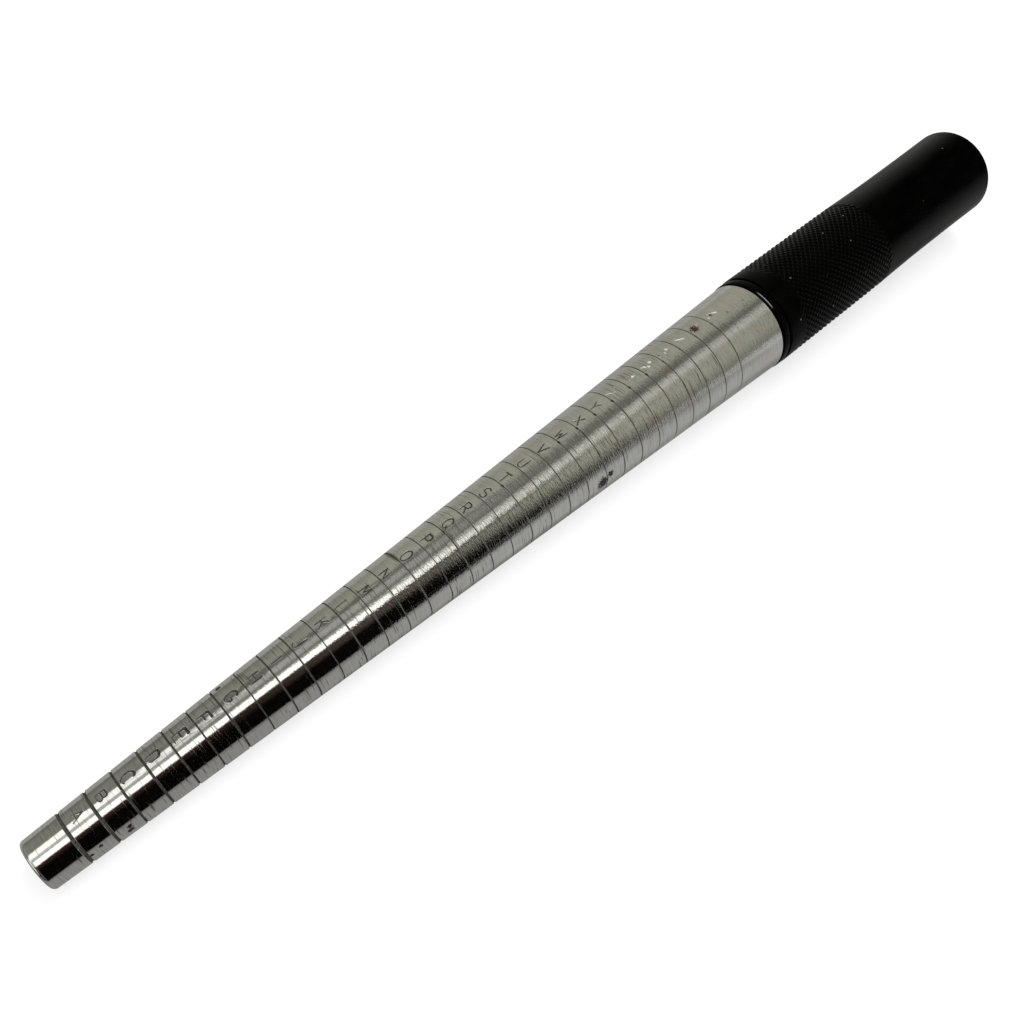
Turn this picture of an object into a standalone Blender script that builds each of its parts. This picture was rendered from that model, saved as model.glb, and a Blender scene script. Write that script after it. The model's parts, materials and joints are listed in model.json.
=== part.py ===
"""A ring mandrel: a tapered gauge stick with one groove for each ring size, and its handle.

The pieces are modelled on one upright axis, as they are turned: the end of the handle is at
the bottom, at height zero, and the tip of the stick is at the top. An empty then lays the
whole tool down as it lies on a bench, on its tip and on the front of its handle, with the
tip towards -X. The facets of the round pieces face straight down, so it lies without rolling.
"""
import math

import bmesh
import bpy
from mathutils import Matrix

# Size marks: grooves round the stick, each where the stick's girth is the next ring size
MARK_COUNT = 32
FIRST_CIRCUMFERENCE = 0.0375
CIRCUMFERENCE_STEP = 0.00125
MARK_PITCH = 0.0059
GROOVE_WIDTH = 0.00045
GROOVE_DEPTH = 0.0003

# Stick in front of the first mark and behind the last one
TIP_LAND = 0.0084
ROOT_LAND = 0.0156
TIP_EDGE_RADIUS = 0.0009

# Centre hole in the tip, which carried the stick in the lathe
CENTRE_HOLE_DIAMETER = 0.0034
CENTRE_HOLE_ANGLE = math.radians(60)
CENTRE_PILOT_DIAMETER = 0.0014
CENTRE_PILOT_DEPTH = 0.001

# Tenon, turned on the stick, which fills the handle's bore down to its web
TENON_DIAMETER = 0.016
TENON_CHAMFER = 0.001
TAPPED_HOLE_RUNOUT = 0.003

# Ring between the stick's shoulder and the handle, with its rim a little below the handle's swell
RING_INSET = 0.0001
RING_WIDTH = 0.0025
RING_EDGE_RADIUS = 0.0007

# Handle: a straight swell at the front, an ease down to the waist and a slight flare
HANDLE_LENGTH = 0.0908
SWELL_DIAMETER = 0.026
SWELL_LENGTH = 0.0345
EASE_LENGTH = 0.028
WAIST_DIAMETER = 0.02535
FRONT_EDGE_RADIUS = 0.0004
END_EDGE_RADIUS = 0.0008
END_RIM = 0.0031
WEB_THICKNESS = 0.008

# Knurled band, which stands a little above the handle's own surface
KNURL_START = 0.0041
KNURL_LENGTH = 0.039
KNURL_HEIGHT = 0.00008
KNURL_RAMP = 0.0004

# Screw that draws the handle onto the tenon, an M8 socket head cap screw
SCREW_DIAMETER = 0.008
SCREW_LENGTH = 0.035
SCREW_CHAMFER = 0.0006
HEAD_DIAMETER = 0.013
HEAD_HEIGHT = 0.008
SOCKET_SIDES = 6
SOCKET_ACROSS_FLATS = 0.006
SOCKET_DEPTH = 0.004

# Washers under the screw's head
PLAIN_WASHER_DIAMETER = 0.016
PLAIN_WASHER_THICKNESS = 0.0016
SPRING_WASHER_DIAMETER = 0.0148
SPRING_WASHER_THICKNESS = 0.002
SPLIT_WIDTH = 0.0014
SPLIT_ANGLE = math.radians(22)

# Plug that closes the end of the handle
PLUG_LEDGE = 0.001
PLUG_FLANGE_THICKNESS = 0.0018
PLUG_SKIRT_LENGTH = 0.006
PLUG_WALL = 0.0014
PLUG_EDGE = 0.0003

# Clearance wherever two pieces meet, room for the screw, and how far a cutter overruns
FIT_GAP = 0.0003
RECESS_CLEARANCE = 0.0005
HEAD_ROOM = 0.0044
CUT_OVERRUN = 0.001

# Fineness of the model: facets round a piece, points on a curve, and its sharp edges
MAIN_FACETS = 32
SMALL_FACETS = 24
EDGE_SEGMENTS = 3
EASE_SEGMENTS = 8
FLARE_SEGMENTS = 5
MERGE_DISTANCE = 0.00001
SHARP_ANGLE = math.radians(30)

# Heights on the upright axis: the plug, the screw and its washers, the web and the tenon
# stand on each other from the end of the handle up, and the ring lies on the handle's front
PLUG_TOP = PLUG_FLANGE_THICKNESS + PLUG_SKIRT_LENGTH
HEAD_UNDERSIDE = PLUG_TOP + HEAD_ROOM + HEAD_HEIGHT
SPRING_WASHER_BASE = HEAD_UNDERSIDE + FIT_GAP
PLAIN_WASHER_BASE = SPRING_WASHER_BASE + SPRING_WASHER_THICKNESS + FIT_GAP
WEB_BOTTOM = PLAIN_WASHER_BASE + PLAIN_WASHER_THICKNESS + FIT_GAP
WEB_TOP = WEB_BOTTOM + WEB_THICKNESS
TENON_END = WEB_TOP + FIT_GAP
RING_BASE = HANDLE_LENGTH + FIT_GAP
SHOULDER = RING_BASE + RING_WIDTH + FIT_GAP

# Radii that one piece takes from another: the recess clears the widest piece inside it
SCREW_HOLE_RADIUS = SCREW_DIAMETER / 2 + FIT_GAP
BORE_RADIUS = TENON_DIAMETER / 2 + FIT_GAP
WIDEST_IN_RECESS = max(HEAD_DIAMETER, PLAIN_WASHER_DIAMETER, SPRING_WASHER_DIAMETER)
RECESS_RADIUS = WIDEST_IN_RECESS / 2 + RECESS_CLEARANCE
PLUG_RADIUS = RECESS_RADIUS + PLUG_LEDGE
PLUG_SEAT_RADIUS = PLUG_RADIUS + FIT_GAP
HANDLE_END_RADIUS = PLUG_SEAT_RADIUS + END_RIM
RING_RADIUS = SWELL_DIAMETER / 2 - RING_INSET


def empty_scene():
    for thing in list(bpy.data.objects):
        bpy.data.objects.remove(thing, do_unlink=True)


def new_collection(name):
    collection = bpy.data.collections.new(name)
    bpy.context.scene.collection.children.link(collection)
    return collection


def principled(name, colour, metallic, roughness):
    material = bpy.data.materials.new(name)
    material.use_nodes = True
    shader = material.node_tree.nodes["Principled BSDF"]
    shader.inputs["Base Color"].default_value = (*colour, 1.0)
    shader.inputs["Metallic"].default_value = metallic
    shader.inputs["Roughness"].default_value = roughness
    return material


def turned(name, profile, closed, facets, material, height, collection):
    """A turned piece from its half section, a list of (radius, height) down its outer side."""
    corners = [(radius, 0.0, z) for radius, z in profile]
    edges = [(i, i + 1) for i in range(len(corners) - 1)]
    if closed:
        edges.append((len(corners) - 1, 0))
    mesh = bpy.data.meshes.new(name)
    mesh.from_pydata(corners, edges, [])
    mesh.materials.append(material)
    piece = bpy.data.objects.new(name, mesh)
    collection.objects.link(piece)
    piece.location.z = height
    piece.rotation_euler.z = math.pi / facets
    screw = piece.modifiers.new("turn", 'SCREW')
    screw.axis = 'Z'
    screw.steps = facets
    screw.render_steps = facets
    screw.use_merge_vertices = True
    screw.merge_threshold = MERGE_DISTANCE
    return piece


def cut(piece, name, bm, collection):
    """Takes the shape in bm out of the piece, and gives back the cutter that does it."""
    mesh = bpy.data.meshes.new(name)
    bm.to_mesh(mesh)
    bm.free()
    cutter = bpy.data.objects.new(name, mesh)
    collection.objects.link(cutter)
    cutter.hide_render = True
    cutter.display_type = 'WIRE'
    boolean = piece.modifiers.new(name, 'BOOLEAN')
    boolean.operation = 'DIFFERENCE'
    boolean.solver = 'EXACT'
    boolean.object = cutter
    return cutter


def round_over(start, end, corner):
    """Points of a quarter ellipse from start to end, bulging towards their common corner."""
    centre = (start[0] + end[0] - corner[0], start[1] + end[1] - corner[1])
    points = []
    for i in range(EDGE_SEGMENTS + 1):
        turn = math.pi / 2 * i / EDGE_SEGMENTS
        along_start = math.cos(turn)
        along_end = math.sin(turn)
        radius = centre[0] + (start[0] - centre[0]) * along_start + (end[0] - centre[0]) * along_end
        z = centre[1] + (start[1] - centre[1]) * along_start + (end[1] - centre[1]) * along_end
        points.append((radius, z))
    return points


# The tapered stick, with its heights from the shoulder

FIRST_MARK = ROOT_LAND + (MARK_COUNT - 1) * MARK_PITCH
STICK_TIP = FIRST_MARK + TIP_LAND


def stick_radius(height):
    """Half the stick's diameter: its girth grows by one ring size from each mark to the next."""
    marks_behind_first = (FIRST_MARK - height) / MARK_PITCH
    girth = FIRST_CIRCUMFERENCE + CIRCUMFERENCE_STEP * marks_behind_first
    return girth / (2 * math.pi)


def stick_outline():
    """The stick's outside, from the edge of the tip down to the shoulder."""
    edge_end = STICK_TIP - TIP_EDGE_RADIUS
    tip_radius = stick_radius(STICK_TIP)
    outline = round_over((tip_radius - TIP_EDGE_RADIUS, STICK_TIP),
                         (stick_radius(edge_end), edge_end), (tip_radius, STICK_TIP))
    for mark in range(MARK_COUNT):
        middle = FIRST_MARK - mark * MARK_PITCH
        upper = middle + GROOVE_WIDTH / 2
        lower = middle - GROOVE_WIDTH / 2
        outline.append((stick_radius(upper), upper))
        outline.append((stick_radius(middle) - GROOVE_DEPTH, middle))
        outline.append((stick_radius(lower), lower))
    outline.append((stick_radius(0.0), 0.0))
    return outline


def stick_section():
    """The whole half section: centre hole, outside, tenon and tapped hole."""
    hole_radius = CENTRE_HOLE_DIAMETER / 2
    pilot_radius = CENTRE_PILOT_DIAMETER / 2
    cone_end = STICK_TIP - (hole_radius - pilot_radius) / math.tan(CENTRE_HOLE_ANGLE / 2)
    pilot_end = cone_end - CENTRE_PILOT_DEPTH
    tenon_radius = TENON_DIAMETER / 2
    tenon_end = TENON_END - SHOULDER
    tapped_end = HEAD_UNDERSIDE + SCREW_LENGTH + TAPPED_HOLE_RUNOUT - SHOULDER
    section = [(0.0, pilot_end), (pilot_radius, pilot_end), (pilot_radius, cone_end),
               (hole_radius, STICK_TIP)]
    section += stick_outline()
    section += [(tenon_radius, 0.0),
                (tenon_radius, tenon_end + TENON_CHAMFER),
                (tenon_radius - TENON_CHAMFER, tenon_end),
                (SCREW_HOLE_RADIUS, tenon_end),
                (SCREW_HOLE_RADIUS, tapped_end),
                (0.0, tapped_end)]
    return section


def make_stick(collection):
    metal = principled("turned_aluminium", (0.74, 0.74, 0.71), 1.0, 0.22)
    return turned("tapered_stick", stick_section(), False, MAIN_FACETS, metal, SHOULDER, collection)


# The ring at the joint, with its heights from its rear face

def ring_outline():
    inner_edge = RING_RADIUS - RING_EDGE_RADIUS
    top_edge = RING_WIDTH - RING_EDGE_RADIUS
    outline = round_over((inner_edge, RING_WIDTH), (RING_RADIUS, top_edge), (RING_RADIUS, RING_WIDTH))
    outline += round_over((RING_RADIUS, RING_EDGE_RADIUS), (inner_edge, 0.0), (RING_RADIUS, 0.0))
    return outline


def make_joint_ring(collection):
    rubber = principled("black_rubber", (0.012, 0.012, 0.012), 0.0, 0.3)
    section = [(BORE_RADIUS, RING_WIDTH)] + ring_outline() + [(BORE_RADIUS, 0.0)]
    return turned("joint_ring", section, True, MAIN_FACETS, rubber, RING_BASE, collection)


# The handle, with its outside told by the distance from its front

def handle_radius(distance):
    """The handle's own surface: straight swell, cosine ease to the waist, curved flare."""
    swell = SWELL_DIAMETER / 2
    waist = WAIST_DIAMETER / 2
    if distance <= SWELL_LENGTH:
        return swell
    waist_start = SWELL_LENGTH + EASE_LENGTH
    if distance <= waist_start:
        eased = (1 + math.cos(math.pi * (distance - SWELL_LENGTH) / EASE_LENGTH)) / 2
        return waist + (swell - waist) * eased
    flared = (distance - waist_start) / (HANDLE_LENGTH - waist_start)
    return waist + (HANDLE_END_RADIUS - waist) * flared ** 2


def knurl_rise(distance):
    """How far the knurled band stands above the handle's surface at this distance."""
    into_band = distance - KNURL_START
    left_of_band = KNURL_START + KNURL_LENGTH - distance
    share = min(into_band, left_of_band) / KNURL_RAMP
    return KNURL_HEIGHT * min(max(share, 0.0), 1.0)


def handle_stations():
    """Distances from the front at which the outside has a point."""
    knurl_end = KNURL_START + KNURL_LENGTH
    waist_start = SWELL_LENGTH + EASE_LENGTH
    flare_length = HANDLE_LENGTH - END_EDGE_RADIUS - waist_start
    stations = [KNURL_START, KNURL_START + KNURL_RAMP, knurl_end - KNURL_RAMP, knurl_end]
    stations += [SWELL_LENGTH + EASE_LENGTH * i / EASE_SEGMENTS for i in range(EASE_SEGMENTS)]
    stations += [waist_start + flare_length * i / FLARE_SEGMENTS for i in range(FLARE_SEGMENTS)]
    return sorted(stations)


def handle_outline():
    """The handle's outside, from its front edge down to its rear edge."""
    front = SWELL_DIAMETER / 2
    front_edge = HANDLE_LENGTH - FRONT_EDGE_RADIUS
    outline = round_over((front - FRONT_EDGE_RADIUS, HANDLE_LENGTH), (front, front_edge),
                         (front, HANDLE_LENGTH))
    for distance in handle_stations():
        radius = handle_radius(distance) + knurl_rise(distance)
        outline.append((radius, HANDLE_LENGTH - distance))
    rear = HANDLE_END_RADIUS
    outline += round_over((handle_radius(HANDLE_LENGTH - END_EDGE_RADIUS), END_EDGE_RADIUS),
                          (rear - END_EDGE_RADIUS, 0.0), (rear, 0.0))
    return outline


def handle_section():
    """The whole half section: outside, seat of the plug, recess, web and bore."""
    seat_depth = PLUG_FLANGE_THICKNESS + FIT_GAP
    section = [(BORE_RADIUS, HANDLE_LENGTH)]
    section += handle_outline()
    section += [(PLUG_SEAT_RADIUS, 0.0), (PLUG_SEAT_RADIUS, seat_depth), (RECESS_RADIUS, seat_depth),
                (RECESS_RADIUS, WEB_BOTTOM), (SCREW_HOLE_RADIUS, WEB_BOTTOM),
                (SCREW_HOLE_RADIUS, WEB_TOP), (BORE_RADIUS, WEB_TOP)]
    return section


def make_handle(collection):
    black = principled("black_anodised", (0.014, 0.014, 0.015), 0.0, 0.42)
    return turned("handle", handle_section(), True, MAIN_FACETS, black, 0.0, collection)


# The screw and its washers, each with its heights from the face that bears

def make_screw(collection, cutters):
    """The draw screw points up into the stick, with its head and hexagon socket below."""
    steel = principled("dark_steel", (0.10, 0.10, 0.11), 1.0, 0.38)
    shank = SCREW_DIAMETER / 2
    head = HEAD_DIAMETER / 2
    section = [(0.0, SCREW_LENGTH), (shank - SCREW_CHAMFER, SCREW_LENGTH),
               (shank, SCREW_LENGTH - SCREW_CHAMFER), (shank, 0.0), (head, 0.0),
               (head, SCREW_CHAMFER - HEAD_HEIGHT), (head - SCREW_CHAMFER, -HEAD_HEIGHT),
               (0.0, -HEAD_HEIGHT)]
    screw = turned("draw_screw", section, False, SMALL_FACETS, steel, HEAD_UNDERSIDE, collection)
    corner_radius = SOCKET_ACROSS_FLATS / 2 / math.cos(math.pi / SOCKET_SIDES)
    depth = SOCKET_DEPTH + CUT_OVERRUN
    bm = bmesh.new()
    bmesh.ops.create_cone(bm, cap_ends=True, segments=SOCKET_SIDES, radius1=corner_radius,
                          radius2=corner_radius, depth=depth)
    socket = cut(screw, "socket_cutter", bm, cutters)
    socket.location.z = HEAD_UNDERSIDE - HEAD_HEIGHT - CUT_OVERRUN + depth / 2
    return screw, socket


def make_plain_washer(collection):
    zinc = principled("zinc_plate", (0.55, 0.56, 0.58), 1.0, 0.35)
    rim = PLAIN_WASHER_DIAMETER / 2
    section = [(SCREW_HOLE_RADIUS, PLAIN_WASHER_THICKNESS), (rim, PLAIN_WASHER_THICKNESS),
               (rim, 0.0), (SCREW_HOLE_RADIUS, 0.0)]
    return turned("plain_washer", section, True, SMALL_FACETS, zinc, PLAIN_WASHER_BASE, collection)


def make_spring_washer(collection, cutters):
    """A flat coil of one turn, split by a slanted cut on one side."""
    steel = principled("spring_steel", (0.30, 0.30, 0.31), 1.0, 0.4)
    rim = SPRING_WASHER_DIAMETER / 2
    section = [(SCREW_HOLE_RADIUS, SPRING_WASHER_THICKNESS), (rim, SPRING_WASHER_THICKNESS),
               (rim, 0.0), (SCREW_HOLE_RADIUS, 0.0)]
    washer = turned("spring_washer", section, True, SMALL_FACETS, steel,
                    SPRING_WASHER_BASE, collection)
    cut_depth = rim - SCREW_HOLE_RADIUS + 2 * CUT_OVERRUN
    cut_height = SPRING_WASHER_THICKNESS + 2 * CUT_OVERRUN
    bm = bmesh.new()
    bmesh.ops.create_cube(bm, size=1.0, matrix=Matrix.Diagonal((cut_depth, SPLIT_WIDTH, cut_height, 1.0)))
    split = cut(washer, "split_cutter", bm, cutters)
    middle = (rim + SCREW_HOLE_RADIUS) / 2
    split.location = (middle, 0.0, SPRING_WASHER_BASE + SPRING_WASHER_THICKNESS / 2)
    split.rotation_euler.x = SPLIT_ANGLE
    return washer, split


# The plug in the end of the handle, with its heights from its outer face

def make_plug(collection):
    """A flat flange and a thin skirt that grips the recess, hollow towards the screw."""
    plastic = principled("black_plastic", (0.02, 0.02, 0.02), 0.0, 0.5)
    skirt = RECESS_RADIUS - FIT_GAP
    section = [(0.0, PLUG_FLANGE_THICKNESS), (skirt - PLUG_WALL, PLUG_FLANGE_THICKNESS),
               (skirt - PLUG_WALL, PLUG_TOP), (skirt, PLUG_TOP),
               (skirt, PLUG_FLANGE_THICKNESS), (PLUG_RADIUS, PLUG_FLANGE_THICKNESS),
               (PLUG_RADIUS, PLUG_EDGE), (PLUG_RADIUS - PLUG_EDGE, 0.0), (0.0, 0.0)]
    return turned("end_plug", section, False, MAIN_FACETS, plastic, 0.0, collection)


# Laying the tool down

def resting_tilt():
    """Angle between the axis and the bench, from the outline's lowest line when it lies.

    Of all lines from the stick's outside to the outside behind its shoulder, the bench is the
    one that stands furthest from the axis at the shoulder, close to which the tool balances.
    """
    front = [(radius, SHOULDER + z) for radius, z in stick_outline()]
    rear = [(radius, RING_BASE + z) for radius, z in ring_outline()] + handle_outline()
    furthest = 0.0
    slope = 0.0
    for front_radius, front_height in front:
        for rear_radius, rear_height in rear:
            rise = (rear_radius - front_radius) / (front_height - rear_height)
            at_shoulder = front_radius + rise * (front_height - SHOULDER)
            if at_shoulder > furthest:
                furthest = at_shoulder
                slope = rise
    return math.atan(slope * math.cos(math.pi / MAIN_FACETS))


def lay_down(pieces, guides):
    """Parents everything to an empty, tips it over and sets it on the floor at the origin."""
    empty = bpy.data.objects.new("axis", None)
    bpy.context.scene.collection.objects.link(empty)
    for thing in pieces + guides:
        thing.parent = empty
    empty.rotation_euler.y = -(math.pi / 2 + resting_tilt())
    bpy.context.view_layer.update()
    corners = [piece.matrix_world @ vertex.co for piece in pieces for vertex in piece.data.vertices]
    for axis in (0, 1):
        places = [corner[axis] for corner in corners]
        empty.location[axis] = -(min(places) + max(places)) / 2
    empty.location.z = -min(corner.z for corner in corners)


def apply_modifiers(pieces):
    """Makes each piece a plain mesh, smooth but for its sharp edges."""
    depsgraph = bpy.context.evaluated_depsgraph_get()
    finished = [bpy.data.meshes.new_from_object(piece.evaluated_get(depsgraph)) for piece in pieces]
    for piece, mesh in zip(pieces, finished):
        piece.modifiers.clear()
        piece.data = mesh
        mesh.name = piece.name
        mesh.shade_smooth()
        mesh.set_sharp_from_angle(angle=SHARP_ANGLE)


empty_scene()
tool = new_collection("ring_mandrel")
cutters = new_collection("cutters")

stick = make_stick(tool)
joint_ring = make_joint_ring(tool)
handle = make_handle(tool)
draw_screw, socket_cutter = make_screw(tool, cutters)
plain_washer = make_plain_washer(tool)
spring_washer, split_cutter = make_spring_washer(tool, cutters)
end_plug = make_plug(tool)

all_pieces = [stick, joint_ring, handle, draw_screw, plain_washer, spring_washer, end_plug]
apply_modifiers(all_pieces)
lay_down(all_pieces, [socket_cutter, split_cutter])
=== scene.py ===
import json
import math

import bmesh
import bpy
from mathutils import Matrix, Vector
from mathutils.geometry import delaunay_2d_cdt


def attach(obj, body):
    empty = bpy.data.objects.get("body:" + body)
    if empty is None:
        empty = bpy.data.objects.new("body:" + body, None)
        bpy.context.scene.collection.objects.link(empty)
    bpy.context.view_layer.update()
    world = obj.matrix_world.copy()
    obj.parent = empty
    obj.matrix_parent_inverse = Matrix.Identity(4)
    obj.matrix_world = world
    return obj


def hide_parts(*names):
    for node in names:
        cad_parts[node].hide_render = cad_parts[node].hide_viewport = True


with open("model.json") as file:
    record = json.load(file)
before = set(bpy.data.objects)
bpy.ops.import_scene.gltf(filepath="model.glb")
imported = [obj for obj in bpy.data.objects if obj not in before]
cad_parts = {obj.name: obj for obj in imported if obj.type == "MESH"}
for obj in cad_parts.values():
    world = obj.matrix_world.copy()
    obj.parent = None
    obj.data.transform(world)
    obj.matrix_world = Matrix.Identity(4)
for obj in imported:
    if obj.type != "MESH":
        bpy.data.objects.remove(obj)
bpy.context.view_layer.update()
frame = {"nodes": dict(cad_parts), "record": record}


# Tapered stick: one bar of aluminium, turned so that its girth grows by one ring size from each
# groove to the next, then polished, most of all towards the tip. A character is punched behind
# each groove. Behind its shoulder a tenon fills the bore of the handle.

MM = 1000.0
MARK_COUNT = 32
MARK_PITCH = 0.0059
FIRST_GIRTH = 0.0375
GIRTH_STEP = 0.00125
TAPER = GIRTH_STEP / MARK_PITCH / math.tau
TIP_LAND = 0.0084
ROOT_LAND = 0.0156
SHOULDER = (MARK_COUNT - 1) * MARK_PITCH + ROOT_LAND
HANDLE_FRONT = SHOULDER + 0.0031
HANDLE_LENGTH = 0.0908
HANDLE_END = HANDLE_FRONT + HANDLE_LENGTH
STICK_COLUMNS = 192
ROWS_PER_GROOVE = 6
GROOVE_DEPTH = 0.00024
GROOVE_FLOOR = 0.00016
TIP_GROOVE_WIDTH = 0.0008
ROOT_GROOVE_WIDTH = 0.00032
GROOVE_NARROWING = 10.0
GROOVE_WOBBLE = 0.00006
WOBBLE_TURN = 2.4
BURR_WIDTH = 0.00006
BURR_HEIGHT = 0.000006
EDGE_BREAK = 0.0002
SEAM_WIDTH = 0.000001
JOIN_WIDTH = 0.0000015

# The tool's own axis, from its first groove to its handle's end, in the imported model's frame
end_mount = frame["record"]["mounts"][0]
tool_axis = Vector(end_mount["axis"]).normalized()
first_mark = Vector(end_mount["pos_m"]) - tool_axis * HANDLE_END
tool_tilt = math.atan2(tool_axis.z, tool_axis.x)
lying = Matrix.Translation(first_mark) @ Matrix.Rotation(-tool_tilt, 4, 'Y')


def stick_radius(along):
    """The stick's radius at a distance behind its first groove."""
    return (FIRST_GIRTH + GIRTH_STEP * along / MARK_PITCH) / math.tau


def on_tool(along, radius, angle):
    """A point at an angle from the top of the tool towards the camera's side."""
    return Vector((along, -radius * math.sin(angle), radius * math.cos(angle)))


def groove_width(mark):
    """The width of a groove, cut by hand feed: widest near the tip, and no two quite alike."""
    narrowing = (1 - mark / (MARK_COUNT - 1)) ** GROOVE_NARROWING
    return (ROOT_GROOVE_WIDTH + (TIP_GROOVE_WIDTH - ROOT_GROOVE_WIDTH) * narrowing
            + GROOVE_WOBBLE * math.sin(WOBBLE_TURN * mark))


def give(socket, value):
    """Links another node's result to an input, or sets the input to a plain value."""
    if isinstance(value, bpy.types.NodeSocket):
        socket.id_data.links.new(value, socket)
    else:
        socket.default_value = value


def calc(operation, *values):
    """The result of a Math node on numbers and other nodes' results, in the tree of those."""
    tree = next(value.id_data for value in values if isinstance(value, bpy.types.NodeSocket))
    node = tree.nodes.new('ShaderNodeMath')
    node.operation = operation
    for socket, value in zip(node.inputs, values):
        give(socket, value)
    return node.outputs[0]


def plus(total, *others):
    for other in others:
        total = calc('ADD', total, other)
    return total


def times(product, *others):
    for other in others:
        product = calc('MULTIPLY', product, other)
    return product


def minus(first, second):
    return calc('SUBTRACT', first, second)


def over(first, second):
    return calc('DIVIDE', first, second)


def new_tree(name, sizes):
    """An empty Geometry Nodes tree with a named input for each size."""
    tree = bpy.data.node_groups.new(name, 'GeometryNodeTree')
    tree.interface.new_socket("Geometry", in_out='INPUT', socket_type='NodeSocketGeometry')
    for size, value in sizes.items():
        kind = 'NodeSocketInt' if isinstance(value, int) else 'NodeSocketFloat'
        tree.interface.new_socket(size, in_out='INPUT', socket_type=kind)
    tree.interface.new_socket("Geometry", in_out='OUTPUT', socket_type='NodeSocketGeometry')
    given = tree.nodes.new('NodeGroupInput')
    return tree, {socket.name: socket for socket in given.outputs}


def rolled_grid(tree, rows, columns):
    """A grid to be rolled up round the tool, with the number of each point's row and column."""
    grid = tree.nodes.new('GeometryNodeMeshGrid')
    last_row = minus(rows, 1)
    for size, value in (("Size X", last_row), ("Size Y", columns),
                        ("Vertices X", rows), ("Vertices Y", plus(columns, 1))):
        give(grid.inputs[size], value)
    place = tree.nodes.new('ShaderNodeSeparateXYZ')
    give(place.inputs[0], tree.nodes.new('GeometryNodeInputPosition').outputs[0])
    row = calc('ROUND', plus(place.outputs[0], over(last_row, 2)))
    column = calc('ROUND', plus(place.outputs[1], over(columns, 2)))
    return grid.outputs["Mesh"], row, column


def roll_up(tree, grid, along, radius, angle, material):
    """Rolls the grid into a tube, closes its seam and ends the tree."""
    place = tree.nodes.new('ShaderNodeCombineXYZ')
    sideways = times(radius, calc('SINE', angle), -1)
    for socket, value in zip(place.inputs, (along, sideways, times(radius, calc('COSINE', angle)))):
        give(socket, value)
    last = grid
    for kind, setting, value in (('GeometryNodeSetPosition', "Position", place.outputs[0]),
                                 ('GeometryNodeMergeByDistance', "Distance", SEAM_WIDTH),
                                 ('GeometryNodeRealizeInstances', None, None),
                                 ('GeometryNodeSetMaterial', "Material", material)):
        node = tree.nodes.new(kind)
        give(node.inputs[0], last)
        if setting:
            give(node.inputs[setting], value)
        last = node.outputs[0]
    give(tree.nodes.new('NodeGroupOutput').inputs[0], last)


def placed(name, data):
    """A new object in the scene."""
    thing = bpy.data.objects.new(name, data)
    bpy.context.scene.collection.objects.link(thing)
    return thing


def grown(name, tree, sizes):
    """The plain mesh that a tree makes with these sizes."""
    carrier = placed(name, bpy.data.meshes.new(name))
    modifier = carrier.modifiers.new(name, 'NODES')
    modifier.node_group = tree
    for socket in tree.interface.items_tree:
        if socket.name in sizes:
            modifier[socket.identifier] = sizes[socket.name]
    bpy.context.view_layer.update()
    graph = bpy.context.evaluated_depsgraph_get()
    mesh = bpy.data.meshes.new_from_object(carrier.evaluated_get(graph))
    carrier.modifiers.remove(modifier)
    bpy.data.objects.remove(carrier)
    return mesh


def turned(name, section, columns, closed=False):
    """The plain mesh of a turned piece, from the points (distance, radius) of its half section."""
    bm = bmesh.new()
    rings = []
    for along, radius in section:
        around = columns if radius > 0 else 1
        rings.append([bm.verts.new(on_tool(along, radius, math.tau * i / columns))
                      for i in range(around)])
    pairs = list(zip(rings, rings[1:]))
    if closed:
        pairs.append((rings[-1], rings[0]))
    for first, second in pairs:
        for i in range(columns):
            corners = [first[i % len(first)], first[(i + 1) % len(first)],
                       second[(i + 1) % len(second)], second[i % len(second)]]
            kept = [corner for n, corner in enumerate(corners) if corner not in corners[:n]]
            if len(kept) > 2:
                bm.faces.new(kept)
    mesh = bpy.data.meshes.new(name)
    bm.to_mesh(mesh)
    bm.free()
    return mesh


def rounded(start, end, corner, steps):
    """Points of a quarter ellipse from start to end that bulges towards their corner."""
    middle = (start[0] + end[0] - corner[0], start[1] + end[1] - corner[1])
    points = []
    for i in range(steps + 1):
        turn = math.pi / 2 * i / steps
        points.append(tuple(middle[n] + (start[n] - middle[n]) * math.cos(turn)
                            + (end[n] - middle[n]) * math.sin(turn) for n in (0, 1)))
    return points


def joined(name, meshes, sharp_degrees):
    """One closed mesh from several, smooth but for the edges that turn by more than an angle."""
    bm = bmesh.new()
    for mesh in meshes:
        bm.from_mesh(mesh)
        bpy.data.meshes.remove(mesh)
    bmesh.ops.remove_doubles(bm, verts=bm.verts, dist=JOIN_WIDTH)
    bmesh.ops.recalc_face_normals(bm, faces=bm.faces)
    for face in bm.faces:
        face.smooth = True
        face.material_index = 0
    result = bpy.data.meshes.new(name)
    bm.to_mesh(result)
    bm.free()
    result.set_sharp_from_angle(angle=math.radians(sharp_degrees))
    return result


def dressed(name, mesh, material, node):
    """The finished piece, laid on the bench with the tool, which stands for its CAD node."""
    mesh.materials.clear()
    mesh.materials.append(material)
    mesh.transform(lying)
    piece = placed(name, mesh)
    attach(piece, "root")
    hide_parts(node)


# The characters' strokes on a plain grid: 4 across and 6 high, with their tops to the handle
GRID_ACROSS = 4
GRID_HIGH = 6


def bow(across, up, wide, high, start, end, steps):
    """Points of an arc, with its angles in degrees from the right, turning left."""
    turns = [math.radians(start + (end - start) * i / steps) for i in range(steps + 1)]
    return [(across + wide * math.cos(turn), up + high * math.sin(turn)) for turn in turns]


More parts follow.
